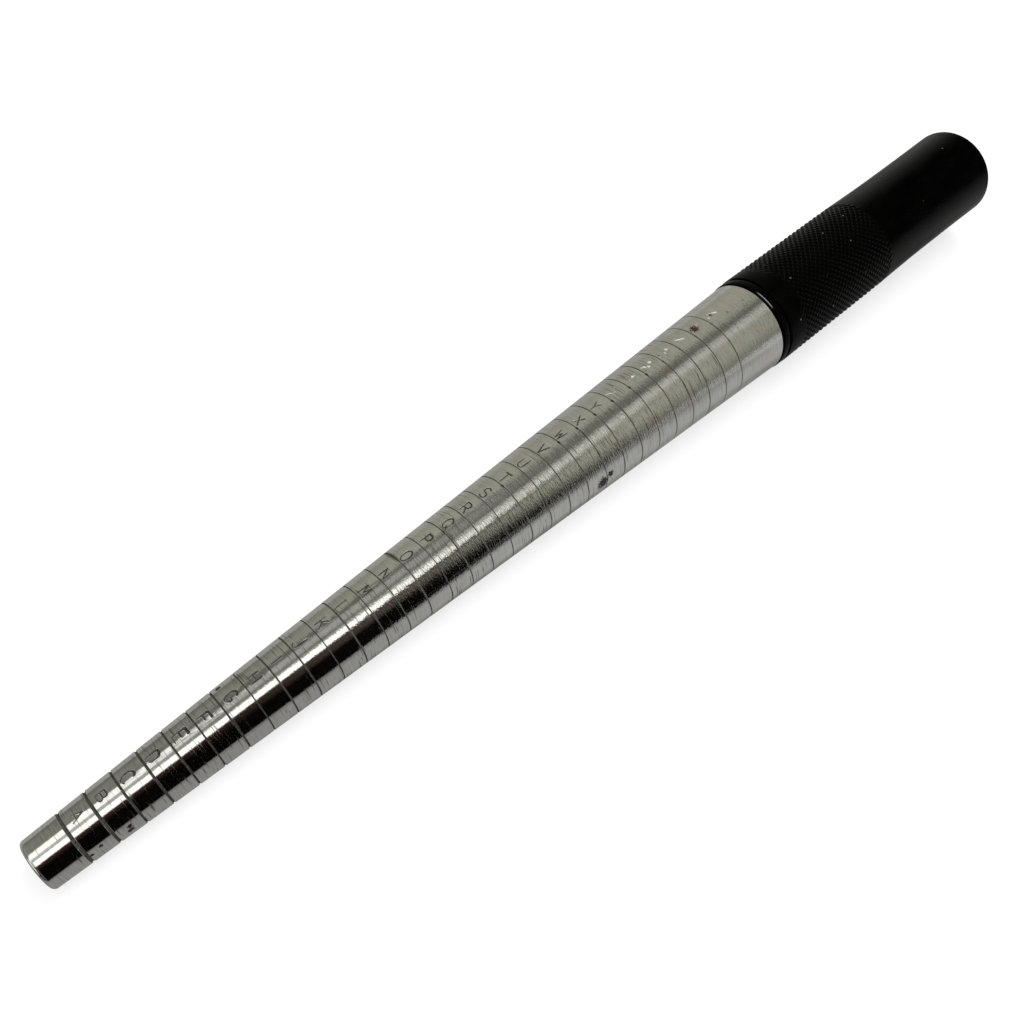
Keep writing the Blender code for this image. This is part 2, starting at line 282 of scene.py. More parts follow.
strokes = {
    "A": [[(0, 0), (2, 6)], [(2, 6), (4, 0)], [(0.8, 2.2), (3.2, 2.2)]],
    "B": [[(0.2, 0), (0.2, 6)], [(0.2, 6)] + bow(2.2, 4.6, 1.4, 1.4, 90, -90, 8) + [(0.2, 3.2)],
          [(2.2, 3.2)] + bow(2.3, 1.6, 1.6, 1.6, 90, -90, 8) + [(0.2, 0)]],
    "C": [bow(2.2, 3, 2.1, 3, 45, 315, 14)],
    "D": [[(0.2, 0), (0.2, 6)], [(0.2, 6)] + bow(1.4, 3, 2.5, 3, 90, -90, 10) + [(0.2, 0)]],
    "E": [[(0.3, 0), (0.3, 6)], [(0.3, 6), (3.8, 6)], [(0.3, 3.1), (3.2, 3.1)], [(0.3, 0), (3.8, 0)]],
    "F": [[(0.3, 0), (0.3, 6)], [(0.3, 6), (3.8, 6)], [(0.3, 3.1), (3.1, 3.1)]],
    "G": [bow(2.1, 3, 2, 3, 50, 330, 14) + [(3.9, 2.7)], [(2.4, 2.7), (3.9, 2.7)]],
    "H": [[(0.2, 0), (0.2, 6)], [(3.8, 0), (3.8, 6)], [(0.2, 3.1), (3.8, 3.1)]],
    "I": [[(2, 0), (2, 6)]],
    "J": [[(3.4, 6), (3.4, 1.8)] + bow(1.9, 1.6, 1.5, 1.6, 0, -160, 8)],
    "K": [[(0.3, 0), (0.3, 6)], [(3.7, 6), (0.3, 2.4)], [(1.5, 3.6), (3.8, 0)]],
    "L": [[(0.4, 6), (0.4, 0)], [(0.4, 0), (3.6, 0)]],
    "M": [[(0.1, 0), (0.4, 6)], [(0.4, 6), (2, 2)], [(2, 2), (3.6, 6)], [(3.6, 6), (3.9, 0)]],
    "N": [[(0.3, 0), (0.3, 6)], [(0.3, 6), (3.7, 0)], [(3.7, 0), (3.7, 6)]],
    "O": [bow(2, 3, 2, 3, 90, 450, 18)],
    "P": [[(0.3, 0), (0.3, 6)], [(0.3, 6)] + bow(2.3, 4.4, 1.5, 1.6, 90, -90, 8) + [(0.3, 2.8)]],
    "Q": [bow(2, 3, 2, 3, 90, 450, 18), [(2.5, 1.6), (4, -0.2)]],
    "R": [[(0.3, 0), (0.3, 6)], [(0.3, 6)] + bow(2.3, 4.5, 1.5, 1.5, 90, -90, 8) + [(0.3, 3)],
          [(2, 3), (3.9, 0)]],
    "S": [bow(2, 4.5, 1.7, 1.5, 30, 270, 10) + bow(2, 1.5, 1.8, 1.5, 90, -150, 10)[1:]],
    "T": [[(2, 0), (2, 6)], [(0, 6), (4, 6)]],
    "U": [[(0.2, 6)] + bow(2, 2, 1.8, 2, 180, 360, 10) + [(3.8, 6)]],
    "V": [[(0, 6), (2, 0)], [(2, 0), (4, 6)]],
    "W": [[(0, 6), (1, 0)], [(1, 0), (2, 4.6)], [(2, 4.6), (3, 0)], [(3, 0), (4, 6)]],
    "X": [[(0.1, 0), (3.9, 6)], [(0.1, 6), (3.9, 0)]],
    "Y": [[(2, 0), (2, 3)], [(2, 3), (0.1, 6)], [(2, 3), (3.9, 6)]],
    "Z": [[(0.2, 6), (3.8, 6)], [(3.8, 6), (0.2, 0)], [(0.2, 0), (3.9, 0)]],
    "1": [[(2.2, 0), (2.2, 6)], [(2.2, 6), (0.9, 4.6)]],
    "2": [bow(2, 4.3, 1.8, 1.7, 165, -25, 10) + [(0.2, 0)], [(0.2, 0), (3.9, 0)]],
    "3": [bow(1.9, 4.6, 1.6, 1.4, 150, -90, 9), bow(1.9, 1.6, 1.8, 1.6, 90, -150, 9)],
    "4": [[(3, 0), (3, 6)], [(3, 6), (0.1, 1.9)], [(0.1, 1.9), (3.9, 1.9)]],
    "5": [[(3.6, 6), (0.7, 6)], [(0.7, 6), (0.5, 3.4)], bow(1.9, 1.9, 1.9, 1.9, 130, -140, 10)],
    "6": [[(3.2, 5.8), (1, 3.6)] + bow(2, 1.8, 1.7, 1.8, 150, 510, 16)],
}
# How each was punched, by hand: millimetres behind its groove, height and sideways slip, and how
# far a stroke reaches to each side at its bottom and at its top, where the punch leaned in
punched = {
    "A": (1.6, 2.5, 0.0, 0.05, 0.2), "B": (1.3, 2.1, -0.1, 0.12, 0.2), "C": (0.6, 3.0, 0.1, 0.13, 0.28),
    "D": (0.6, 2.8, 0.15, 0.1, 0.34), "E": (0.85, 3.1, 0.05, 0.14, 0.36),
    "F": (0.45, 2.9, 0.4, 0.14, 0.32), "G": (1.1, 3.0, 0.2, 0.13, 0.33),
    "H": (1.1, 2.9, 0.2, 0.13, 0.26), "I": (0.9, 2.6, 0.2, 0.14, 0.3),
    "J": (0.55, 3.1, 0.05, 0.15, 0.33), "K": (0.9, 2.9, -0.1, 0.16, 0.22),
    "L": (0.35, 3.0, -0.2, 0.12, 0.26), "M": (0.45, 2.8, 0.3, 0.14, 0.24),
    "N": (0.4, 2.6, 0.0, 0.17, 0.2), "O": (0.5, 3.1, -0.25, 0.16, 0.25),
    "P": (0.6, 2.9, -0.3, 0.14, 0.3), "Q": (0.8, 3.0, -0.2, 0.16, 0.26),
    "R": (0.6, 2.9, -0.6, 0.17, 0.22), "S": (0.5, 3.0, -0.5, 0.2, 0.2),
    "T": (0.3, 2.9, -0.45, 0.17, 0.22), "U": (0.4, 3.0, -0.5, 0.19, 0.19),
    "V": (0.5, 2.8, -0.15, 0.22, 0.19), "W": (0.4, 2.7, -0.2, 0.19, 0.2),
    "X": (0.7, 2.7, -0.15, 0.19, 0.19), "Y": (0.4, 2.8, -0.5, 0.17, 0.24),
    "Z": (0.5, 3.0, -0.2, 0.13, 0.18), "1": (0.4, 3.0, -0.2, 0.2, 0.33),
    "2": (0.8, 3.0, -0.15, 0.26, 0.34), "3": (0.6, 3.1, -0.15, 0.2, 0.34),
    "4": (0.5, 2.9, -0.2, 0.15, 0.2), "5": (0.6, 3.0, -0.1, 0.2, 0.28), "6": (0.9, 3.2, -0.4, 0.16, 0.2),
}
# Sizes of the characters in millimetres. Their row starts 2.5 degrees from the top and creeps
# away from the camera's side by a quarter of a degree with each.
CHARACTER_WIDTH = 1.85
ROW_ANGLE = 2.5
ROW_DRIFT = 0.25
STROKE_STEEPNESS = 0.85
RIM_WIDTH = 0.08
RIM_HEIGHT = 0.016
RIM_TO_GROOVE = 0.03
PATCH_MARGIN = 0.1
LEVEL_WITHIN = 0.0002
CUT_WITHIN = 0.0001
BLUNT_END = 0.7071
LEAST_MITRE = 0.4


def clamped(share):
    return max(0.0, min(1.0, share))


def from_stroke(point, lines):
    """The distance of a point from the nearest of the lines."""
    nearest = math.inf
    for line in lines:
        for start, end in zip(line, line[1:]):
            run = end - start
            share = clamped((point - start).dot(run) / run.length_squared)
            nearest = min(nearest, (point - start - run * share).length)
    return nearest


def ring_round(line, reach_at):
    """The closed outline round an open line, as far off as it reaches, with blunt ends."""
    sides = []
    steps = [(b - a).normalized() for a, b in zip(line, line[1:])]
    for ordered, directions in ((line, steps), (line[::-1], [-step for step in reversed(steps)])):
        for i, point in enumerate(ordered):
            reach = reach_at(point.x)
            before = directions[max(i - 1, 0)]
            after = directions[min(i, len(directions) - 1)]
            between = (before + after).normalized()
            widened = reach / max(between.dot(before), LEAST_MITRE)
            if i == 0:
                sides.append(point - after * reach)
                sides.append(point + (Vector((-after.y, after.x)) - after) * reach * BLUNT_END)
            sides.append(point + Vector((-between.y, between.x)) * widened)
            if i == len(ordered) - 1:
                sides.append(point + (Vector((-after.y, after.x)) + after) * reach * BLUNT_END)
    return sides


def punched_window(mark, character, bm):
    """Adds the punched patch of one land to the mesh and says which part of the stick it fills."""
    start_mm, height_mm, slip_mm, bottom_reach, top_reach = punched[character]
    burr = groove_width(mark) / 2 + BURR_WIDTH
    left = mark * MARK_PITCH + burr
    right = (mark + 1) * MARK_PITCH - groove_width(mark + 1) / 2 - BURR_WIDTH
    if mark == MARK_COUNT - 1:
        right = SHOULDER - EDGE_BREAK
    radius_mm = stick_radius((left + right) / 2) * MM
    centre = -math.radians(ROW_ANGLE + ROW_DRIFT * mark) * radius_mm + slip_mm
    column = math.tau / STICK_COLUMNS * radius_mm
    half = CHARACTER_WIDTH / 2 + max(bottom_reach, top_reach) + RIM_WIDTH + PATCH_MARGIN
    first = math.floor((centre - half) / column)
    last = math.ceil((centre + half) / column)
    bottom = max(mark * MARK_PITCH * MM + start_mm,
                 left * MM + bottom_reach + RIM_WIDTH + RIM_TO_GROOVE)
    lines = [[Vector((bottom + up / GRID_HIGH * height_mm,
                      centre + (across / GRID_ACROSS - 0.5) * CHARACTER_WIDTH))
              for across, up in stroke] for stroke in strokes[character]]
    points, edges = [], []

    def reach_at(along_mm):
        return bottom_reach + (top_reach - bottom_reach) * clamped((along_mm - bottom) / height_mm)

    def add_line(line, close=False):
        begin = len(points)
        points.extend(line)
        edges.extend((begin + i, begin + i + 1) for i in range(len(line) - 1))
        if close:
            edges.append((begin + len(line) - 1, begin))

    for line in lines:
        add_line(line)
        add_line(ring_round(line, reach_at), close=True)
        add_line(ring_round(line, lambda along_mm: reach_at(along_mm) + RIM_WIDTH), close=True)
    for i in range(first, last + 1):
        add_line([Vector((left * MM, i * column)), Vector((right * MM, i * column))])
    for end in (left, right):
        add_line([Vector((end * MM, i * column)) for i in range(first, last + 1)])
    flat, _, faces, _, _, _ = delaunay_2d_cdt(points, edges, [], 0, CUT_WITHIN)
    corners = []
    for point in flat:
        distance = from_stroke(point, lines)
        reach = reach_at(point.x)
        if distance < reach:
            rise = RIM_HEIGHT - (STROKE_STEEPNESS * reach + RIM_HEIGHT) * (1 - distance / reach)
        else:
            rise = RIM_HEIGHT * max(0.0, 1 - (distance - reach) / RIM_WIDTH)
        rise = 0.0 if abs(rise) < LEVEL_WITHIN else rise
        along = point.x / MM
        radius = stick_radius(along) + rise / MM
        corners.append(bm.verts.new(on_tool(along, radius, point.y / radius_mm)))
    for face in faces:
        bm.faces.new([corners[i] for i in face])
    turn = math.tau / STICK_COLUMNS
    return left, right, first * turn, last * turn


def end_group(tree, results):
    """Hands a shader group's results to its outputs, in their order."""
    output = tree.nodes.new('NodeGroupOutput')
    for socket, result in zip(output.inputs, results):
        give(socket, result)
    return tree


def tool_place():
    """Shader group: where a point lies on the tool, in millimetres, and its angle from the top."""
    tree = bpy.data.node_groups.new("place on the tool", 'ShaderNodeTree')
    tree.interface.new_socket("Place", in_out='OUTPUT', socket_type='NodeSocketVector')
    for output in ("Along", "Radius", "Angle"):
        tree.interface.new_socket(output, in_out='OUTPUT', socket_type='NodeSocketFloat')
    turn = tree.nodes.new('ShaderNodeMapping')
    turn.vector_type = 'TEXTURE'
    turn.inputs["Location"].default_value = first_mark
    turn.inputs["Rotation"].default_value = (0.0, -tool_tilt, 0.0)
    turn.inputs["Scale"].default_value = (1 / MM, 1 / MM, 1 / MM)
    give(turn.inputs["Vector"], tree.nodes.new('ShaderNodeTexCoord').outputs["Object"])
    split = tree.nodes.new('ShaderNodeSeparateXYZ')
    give(split.inputs[0], turn.outputs[0])
    along, side, up = split.outputs
    radius = calc('SQRT', plus(times(side, side), times(up, up)))
    return end_group(tree, (turn.outputs[0], along, radius, calc('ARCTAN2', times(side, -1), up)))


tool_place_group = tool_place()


def new_material(name):
    """An empty material with its shader and the place on the tool."""
    material = bpy.data.materials.new(name)
    material.use_nodes = True
    tree = material.node_tree
    place = tree.nodes.new('ShaderNodeGroup')
    place.node_tree = tool_place_group
    return material, tree.nodes["Principled BSDF"], place.outputs


def stretched(place, scale):
    """The place on the scale of a pattern, with one number for a scale that is the same all ways."""
    node = place.id_data.nodes.new('ShaderNodeMapping')
    node.inputs["Scale"].default_value = scale if isinstance(scale, tuple) else (scale, scale, scale)
    give(node.inputs["Vector"], place)
    return node.outputs[0]


def noise(place, scale, detail, roughness=0.55):
    """Noise on a stretched copy of the place, from 0 to 1."""
    texture = place.id_data.nodes.new('ShaderNodeTexNoise')
    texture.inputs["Scale"].default_value = 1.0
    texture.inputs["Detail"].default_value = detail
    texture.inputs["Roughness"].default_value = roughness
    give(texture.inputs["Vector"], stretched(place, scale))
    return texture.outputs["Fac"]


def span(value, low, high, out_low=0, out_high=1):
    """The value carried over from one span to another, smoothly and kept inside it."""
    node = value.id_data.nodes.new('ShaderNodeMapRange')
    node.interpolation_type = 'SMOOTHSTEP'
    for socket, number in zip(node.inputs, (value, low, high, out_low, out_high)):
        give(socket, number)
    return node.outputs[0]


def blended(share, first, second):
    """A colour between two, which are plain colours or other nodes' results."""
    node = share.id_data.nodes.new('ShaderNodeMix')
    node.data_type = 'RGBA'
    give(node.inputs[0], share)
    for socket, colour in ((node.inputs[6], first), (node.inputs[7], second)):
        give(socket, (*colour, 1.0) if isinstance(colour, tuple) else colour)
    return node.outputs[2]


def away_from(place, centre):
    """How far a place lies from a centre."""
    node = place.id_data.nodes.new('ShaderNodeVectorMath')
    node.operation = 'DISTANCE'
    give(node.inputs[0], place)
    give(node.inputs[1], centre)
    return node.outputs["Value"]


def turned_marks():
    """Shader group: the fine rings that a lathe tool and emery leave, and the odd deep scratch."""
    tree = bpy.data.node_groups.new("rings of turned metal", 'ShaderNodeTree')
    tree.interface.new_socket("Place", in_out='INPUT', socket_type='NodeSocketVector')
    for output in ("Fine", "Coarse", "Scratch"):
        tree.interface.new_socket(output, in_out='OUTPUT', socket_type='NodeSocketFloat')
    place = tree.nodes.new('NodeGroupInput').outputs[0]
    fine = noise(place, (5.0, 0.3, 0.3), 4, 0.7)
    coarse = noise(place, (1.9, 0.16, 0.16), 3, 0.6)
    patches = span(noise(place, (0.09, 0.12, 0.12), 2), 0.38, 0.56)
    lines = span(noise(place, (3.4, 0.17, 0.17), 1), 0.61, 0.68)
    return end_group(tree, (fine, coarse, times(lines, patches)))


turned_marks_group = turned_marks()


def add_marks(place):
    node = place.id_data.nodes.new('ShaderNodeGroup')
    node.node_tree = turned_marks_group
    give(node.inputs[0], place)
    return node.outputs["Fine"], node.outputs["Coarse"], node.outputs["Scratch"]


def bumped(shader, heights, distance):
    """Adds up heights, each with its share, and gives them to the shader as a bump."""
    bump = shader.id_data.nodes.new('ShaderNodeBump')
    bump.inputs["Distance"].default_value = distance
    give(bump.inputs["Height"], plus(*[times(height, share) for height, share in heights]))
    give(shader.inputs["Normal"], bump.outputs[0])


DULL_METAL = (0.66, 0.66, 0.62)
BRIGHT_METAL = (0.76, 0.76, 0.73)
STAINED_METAL = (0.74, 0.65, 0.6)
SCRATCHED_METAL = (0.17, 0.155, 0.125)
BROWN_DIRT = (0.25, 0.24, 0.165)
GROOVE_SOOT = (0.018, 0.0155, 0.012)
CHARACTER_SOOT = (0.012, 0.011, 0.009)
DARK_STAIN = (0.028, 0.014, 0.012)
RUST = (0.15, 0.07, 0.04)
DOT_DIRT = (0.03, 0.028, 0.022)
SOOTED_DEPTH = 0.035
SMEARED_MARK = 14
DOT_ANGLE = math.radians(-3.0)
DOT_DRIFT = 0.00026
# How strongly a dot shows at some of the first grooves; the last ones all have it
dotted_marks = {8: 0.6, 11: 0.4, 13: 0.5, 16: 0.8, 19: 0.9}
# Where the stick is scuffed or stained: the middle of each spot in mm on the tool, and its size
scuffs = [((9.0, -5.95, 1.4), 0.75), ((8.7, -6.1, 0.3), 0.9), ((0.8, -5.9, 1.2), 0.5),
          ((2.9, -5.8, 1.8), 0.5), ((134.4, -10.5, 0.8), 2.1), ((136.9, -10.4, 1.9), 1.1),
          ((178.8, 2.2, 11.8), 1.5), ((185.4, 2.6, 12.0), 0.6), ((37.2, 4.4, 5.8), 0.8)]


def stick_aluminium():
    """Polished aluminium. The spans of its patterns along the stick are in mm from the first groove."""
    material, shader, tool = new_material("polished_aluminium")
    place, along = tool["Place"], tool["Along"]
    fine, coarse, scratch = add_marks(place)
    scratch = times(scratch, span(along, 172, 182, 1, 0.25))
    worn = span(along, 40, 165)
    # Soot fills what lies below the taper's own surface: grooves and characters, less in the last
    skin = plus(times(along, TAPER), stick_radius(0.0) * MM)
    sunk = span(minus(skin, tool["Radius"]), 0, SOOTED_DEPTH)
    on_taper = span(along, 0.6 - TIP_LAND * MM, 1 - TIP_LAND * MM)
    before_end = span(along, SHOULDER * MM - 0.5, SHOULDER * MM - 0.3, 1, 0)
    grooves_behind = times(along, 1 / (MARK_PITCH * MM))
    nearest = calc('ROUND', grooves_behind)
    beside = times(minus(grooves_behind, nearest), MARK_PITCH * MM)
    off_groove = calc('ABSOLUTE', beside)
    in_character = span(off_groove, 0.44, 0.5)
    grimy = span(along, 20, 110, 1, 0.86)
    filled = minus(span(along, 143, 151, 1, 0.25), grimy)
    patina = times(sunk, on_taper, before_end, plus(grimy, times(in_character, filled)))
    # The bare metal is cloudy, tarnished where it is worn, and scratched
    metal = blended(span(coarse, 0.3, 0.75), DULL_METAL, BRIGHT_METAL)
    tarnished = times(span(noise(place, (0.16, 0.3, 0.3), 3), 0.52, 0.68), worn)
    metal = blended(times(tarnished, 0.6), metal, STAINED_METAL)
    metal = blended(times(scratch, 0.75), metal, SCRATCHED_METAL)
    # Brown dirt makes the groove before the O look wider on its upper side
    smeared = times(calc('COMPARE', nearest, SMEARED_MARK, 0.5),
                    span(tool["Angle"], -0.3, -0.06, 0.85, 0), span(off_groove, 0.36, 0.7, 1, 0))
    metal = blended(smeared, metal, BROWN_DIRT)
    dirt = span(noise(place, 2.5, 3), 0.35, 0.75, 0.93, 1)
    soot = blended(times(in_character, span(along, 90, 130, 1, 0.5)), GROOVE_SOOT, CHARACTER_SOOT)
    metal = blended(times(patina, dirt), metal, soot)
    # Scuffs and stains have ragged edges
    ragged = times(noise(place, 2.8, 3, 0.75), 1.7)
    spots = 0.0
    for centre, size in scuffs:
        nearness = minus(1, over(away_from(place, centre), size))
        nearness = times(calc('MINIMUM', nearness, 0.65), 0.7)
        spots = calc('MAXIMUM', span(plus(nearness, ragged), 1, 1.06), spots)
    # A dark dot ends some grooves in a row below the characters, where the cutting tool came out
    dot_angle = plus(times(along, DOT_DRIFT), DOT_ANGLE)
    aside = times(minus(tool["Angle"], dot_angle), tool["Radius"])
    off_dot = calc('SQRT', plus(calc('POWER', times(beside, 1.5), 2), calc('POWER', aside, 2)))
    dotted = span(along, 127, 129)
    for mark, share in dotted_marks.items():
        dotted = calc('MAXIMUM', dotted, times(calc('COMPARE', nearest, mark, 0.5), share))
    dots = times(span(off_dot, 0.34, 0.56, 1, 0), dotted, span(along, 160, 166, 1, 0.3))
    stain = blended(span(along, 160, 165), DARK_STAIN, RUST)
    metal = blended(times(spots, 0.95), metal, stain)
    give(shader.inputs["Base Color"], blended(times(dots, 0.9), metal, DOT_DIRT))
    give(shader.inputs["Metallic"], minus(1, times(patina, 0.92)))
    shader.inputs["Specular IOR Level"].default_value = 0.08
    rough = plus(times(worn, 0.05), 0.065, times(coarse, 0.03), times(scratch, 0.2),
                 times(patina, 0.4), times(plus(spots, dots), 0.35))
    give(shader.inputs["Roughness"], rough)
    # The rings get deeper where the polish ends, and knocks and nicks make the reflections wavy
    depth = plus(times(worn, 0.8), 0.3)
    knocks = times(span(along, 20, 95, 0.5, 3), noise(place, (3.2, 1.5, 1.5), 1, 0.6))
    nicks = times(span(noise(place, (3.0, 0.4, 0.4), 1, 0.5), 0.5, 0.64),
                  span(along, 65, 125, 0.2, 1.15), span(along, 160, 182, 1, 0.3))
    bumped(shader, [(times(fine, depth), 1.2), (times(coarse, depth), 0.8), (knocks, 1.0),
                    (nicks, 1.0), (scratch, -0.6), (spots, -1.5), (dots, -4.0)], 0.000012)
    return material


aluminium = stick_aluminium()


def grooved_taper():
    """The outside of the stick with its grooves, which repeat while its girth grows."""
    sizes = {"Grooves": MARK_COUNT, "Columns": STICK_COLUMNS, "Pitch": MARK_PITCH,
             "First girth": FIRST_GIRTH, "Girth step": GIRTH_STEP, "Width at tip": TIP_GROOVE_WIDTH,
             "Width at root": ROOT_GROOVE_WIDTH, "Narrowing": GROOVE_NARROWING,
             "Wobble": GROOVE_WOBBLE, "Wobble turn": WOBBLE_TURN, "Depth": GROOVE_DEPTH,
             "Floor width": GROOVE_FLOOR, "Burr width": BURR_WIDTH, "Burr height": BURR_HEIGHT}
    tree, given = new_tree("grooved taper", sizes)
    rows = times(given["Grooves"], ROWS_PER_GROOVE)
    grid, row, column = rolled_grid(tree, rows, given["Columns"])
    groove = calc('FLOOR', over(plus(row, 0.5), ROWS_PER_GROOVE))
    in_groove = minus(row, times(groove, ROWS_PER_GROOVE))
    from_middle = minus(in_groove, (ROWS_PER_GROOVE - 1) / 2)
    steps_out = calc('ABSOLUTE', from_middle)
    outside = calc('GREATER_THAN', steps_out, 2)
    inside = calc('LESS_THAN', steps_out, 1)
    share = over(groove, minus(given["Grooves"], 1))
    narrowing = calc('POWER', minus(1, share), given["Narrowing"])
    widening = times(minus(given["Width at tip"], given["Width at root"]), narrowing)
    wobble = times(calc('SINE', times(groove, given["Wobble turn"])), given["Wobble"])
    width = plus(given["Width at root"], widening, wobble)
    edge = plus(over(width, 2), times(outside, given["Burr width"]))
    reach = plus(times(edge, minus(1, inside)), times(over(given["Floor width"], 2), inside))
    along = plus(times(groove, given["Pitch"]), times(calc('SIGN', from_middle), reach))
    gained = over(times(along, given["Girth step"]), given["Pitch"])
    radius = over(plus(given["First girth"], gained), math.tau)
    crest = minus(1, plus(inside, outside))
    rise = minus(times(crest, given["Burr height"]), times(inside, given["Depth"]))
    angle = over(times(column, math.tau), given["Columns"])
    roll_up(tree, grid, along, plus(radius, rise), angle, aluminium)
    return grown("grooved_taper", tree, sizes)


TIP_EDGE_RADIUS = 0.0009
CENTRE_HOLE_RADIUS = 0.0017
CENTRE_PILOT_RADIUS = 0.0007
CENTRE_CONE_DEPTH = 0.00173
CENTRE_PILOT_DEPTH = 0.001
TENON_RADIUS = 0.008
TENON_LENGTH = 0.0605
TENON_CHAMFER = 0.001
TAPPED_RADIUS = 0.0043
TAPPED_DEPTH = 0.0252
STICK_SHARP = 10
ON_LAND_WITHIN = 0.0000004


def stick_tip():
    """The face of the tip with its centre hole, and the rounded edge up to the first groove."""
    tip = -TIP_LAND
    edge_end = tip + TIP_EDGE_RADIUS
    hole_end = tip + CENTRE_CONE_DEPTH
    bottom = hole_end + CENTRE_PILOT_DEPTH
    section = [(bottom, 0.0), (bottom, CENTRE_PILOT_RADIUS), (hole_end, CENTRE_PILOT_RADIUS),
               (tip + EDGE_BREAK / 2, CENTRE_HOLE_RADIUS - EDGE_BREAK / 2),
               (tip, CENTRE_HOLE_RADIUS + EDGE_BREAK / 2)]
    section += rounded((tip, stick_radius(tip) - TIP_EDGE_RADIUS), (edge_end, stick_radius(edge_end)),
                       (tip, stick_radius(tip)), steps=12)
    first_row = -groove_width(0) / 2 - BURR_WIDTH
    section.append((first_row, stick_radius(first_row)))
    return turned("stick_tip", section, STICK_COLUMNS)


def stick_root():
    """From the last groove to the shoulder, then the tenon with its tapped hole."""
    last_row = (MARK_COUNT - 1) * MARK_PITCH + groove_width(MARK_COUNT - 1) / 2 + BURR_WIDTH
    edge = SHOULDER - EDGE_BREAK
    end = SHOULDER + TENON_LENGTH
    section = [(last_row, stick_radius(last_row)), (edge, stick_radius(edge)),
               (SHOULDER, stick_radius(edge) - EDGE_BREAK), (SHOULDER, TENON_RADIUS),
               (end - TENON_CHAMFER, TENON_RADIUS), (end, TENON_RADIUS - TENON_CHAMFER),
               (end, TAPPED_RADIUS), (end - TAPPED_DEPTH, TAPPED_RADIUS), (end - TAPPED_DEPTH, 0.0)]
    return turned("stick_root", section, STICK_COLUMNS)


def punched_stick():
    """The stick with a patch of each land changed for the same patch with its character."""
    plain = joined("plain_stick", [stick_tip(), grooved_taper(), stick_root()], STICK_SHARP)
    bm = bmesh.new()
    bm.from_mesh(plain)
    patches = bmesh.new()
    windows = [punched_window(mark, character, patches) for mark, character in enumerate(strokes)]
    taken = []
    for face in bm.faces:
        middle = face.calc_center_median()
        angle = math.atan2(-middle.y, middle.z)
        for left, right, first, last in windows:
            if left < middle.x < right and first < angle < last:
                taken.append(face)
    bmesh.ops.delete(bm, geom=taken, context='FACES')
    bm.to_mesh(plain)
    bm.free()
    patch_mesh = bpy.data.meshes.new("punched_patches")
    patches.to_mesh(patch_mesh)
    patches.free()
    whole = joined("tapered_stick_detail", [plain, patch_mesh], STICK_SHARP)
    # The lands are shaded as the true cone that they lie on, and the rest as it comes
    normals = [(0.0, 0.0, 0.0)] * len(whole.loops)
    for face in whole.polygons:
        corners = [whole.vertices[i].co for i in face.vertices]
        if all(abs(math.hypot(c.y, c.z) - stick_radius(c.x)) < ON_LAND_WITHIN
               and c.x > -TIP_LAND + TIP_EDGE_RADIUS / 2 for c in corners):
            for loop, corner in zip(face.loop_indices, corners):
                normals[loop] = Vector((-TAPER, *corner.yz.normalized())).normalized()
    whole.normals_split_custom_set(normals)
    return whole


dressed("tapered_stick_detail", punched_stick(), aluminium, "tapered_stick")


# Joint ring: a turned black rubber ring, pinched between the stick's shoulder and the handle,
# and a little larger than both.

RING_SLACK = 0.00003
RING_START = SHOULDER + RING_SLACK
RING_END = HANDLE_FRONT - RING_SLACK
RING_RADIUS = 0.0129
RING_EDGE = 0.0009
RING_COLUMNS = 180
RING_SHARP = 30
BORE_RADIUS = 0.0083
# Middle of the painted highlight on the ring's front edge
GLINT_MIDDLE = RING_START + 0.00065
BLACK_RUBBER = (0.0006, 0.0006, 0.0007)
# Pale grey of the painted highlight on the ring's front edge
PAINTED_GLINT_GREY = (0.3, 0.3, 0.3)


def glossy_rubber():
    material, shader, tool = new_material("glossy_black_rubber")
    grain = noise(tool["Place"], 14.0, 3)
    # A painted highlight: a pale glint is painted on its front edge, on the upper near side, and stands
    # in for a reflection there
    band = span(calc('ABSOLUTE', minus(tool["Along"], GLINT_MIDDLE * MM)), 0.04, 0.17, 1, 0)
    degrees = times(tool["Angle"], 180 / math.pi)
    arc = times(span(degrees, 2, 8), span(degrees, 25, 31, 1, 0))
    painted_glint = times(band, arc, span(grain, 0.3, 0.6, 0.3, 0.9))
    give(shader.inputs["Base Color"], blended(painted_glint, BLACK_RUBBER, PAINTED_GLINT_GREY))
    shader.inputs["Specular IOR Level"].default_value = 0.03
    give(shader.inputs["Roughness"], span(grain, 0.2, 0.8, 0.1, 0.2))
    bumped(shader, [(grain, 1.0)], 0.000006)
    return material


def ring_section():
    shoulder = RING_RADIUS - RING_EDGE
    front = rounded((RING_START, shoulder), (RING_START + RING_EDGE, RING_RADIUS),
                    (RING_START, RING_RADIUS), steps=8)
    rear = rounded((RING_END - RING_EDGE, RING_RADIUS), (RING_END, shoulder),
                   (RING_END, RING_RADIUS), steps=8)
    return [(RING_START, BORE_RADIUS), *front, *rear, (RING_END, BORE_RADIUS)]


ring = turned("ring", ring_section(), RING_COLUMNS, closed=True)
ring_mesh = joined("joint_ring_detail", [ring], RING_SHARP)
dressed("joint_ring_detail", ring_mesh, glossy_rubber(), "joint_ring")


# Handle: a turned bar, satin black anodised, with a band of diamond knurling, a waist and a
# slight flare. It is drilled for the tenon from the front, and for the screw's head and the
# plug from behind, with a web left between the two.

